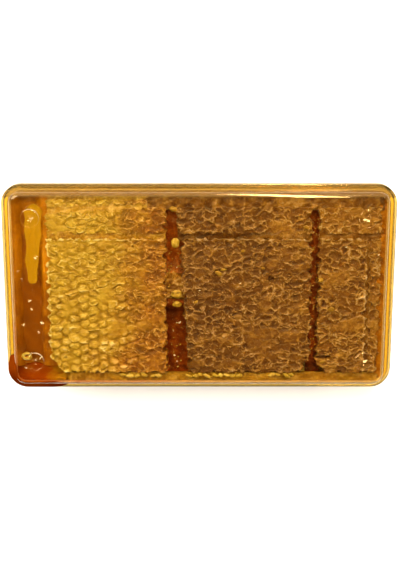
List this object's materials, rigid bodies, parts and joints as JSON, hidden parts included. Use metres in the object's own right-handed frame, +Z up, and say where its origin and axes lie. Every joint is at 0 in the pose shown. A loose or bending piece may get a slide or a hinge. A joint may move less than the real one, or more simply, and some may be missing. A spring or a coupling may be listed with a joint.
{
  "type": "boxed honeycomb",
  "caption": "Cut honeycomb pieces lying side by side in liquid honey, in a shut clear plastic box with a raised lid.",
  "frame": {"origin": "under the middle of the box, on the surface that its base rests on", "axes": "+X along the box's length towards the narrow end strip of comb, +Y towards the back strips of comb, +Z up through the lid"},
  "size_m": [0.211, 0.114, 0.0413],
  "materials": {
    "clear_plastic": "clear moulded polystyrene, glossy",
    "honey": "clear amber liquid honey, glossy",
    "yellow_wax": "pale yellow beeswax cappings, wet with honey",
    "brown_wax": "tan and brown beeswax cell rims, wet with honey"
  },
  "bodies": {
    "root": {"tub": "clear_plastic", "lid": "clear_plastic", "honey": "honey", "comb_left": "yellow_wax", "comb_middle": "brown_wax", "comb_right": "brown_wax", "comb_end_strip": "brown_wax", "comb_left_back": "yellow_wax", "comb_middle_back": "brown_wax", "comb_right_back": "brown_wax", "comb_left_sliver": "yellow_wax", "flake_pool": "yellow_wax", "flake_gap_back": "yellow_wax", "flake_gap_middle": "yellow_wax", "flake_gap_front": "yellow_wax"}
  },
  "joints": []
}
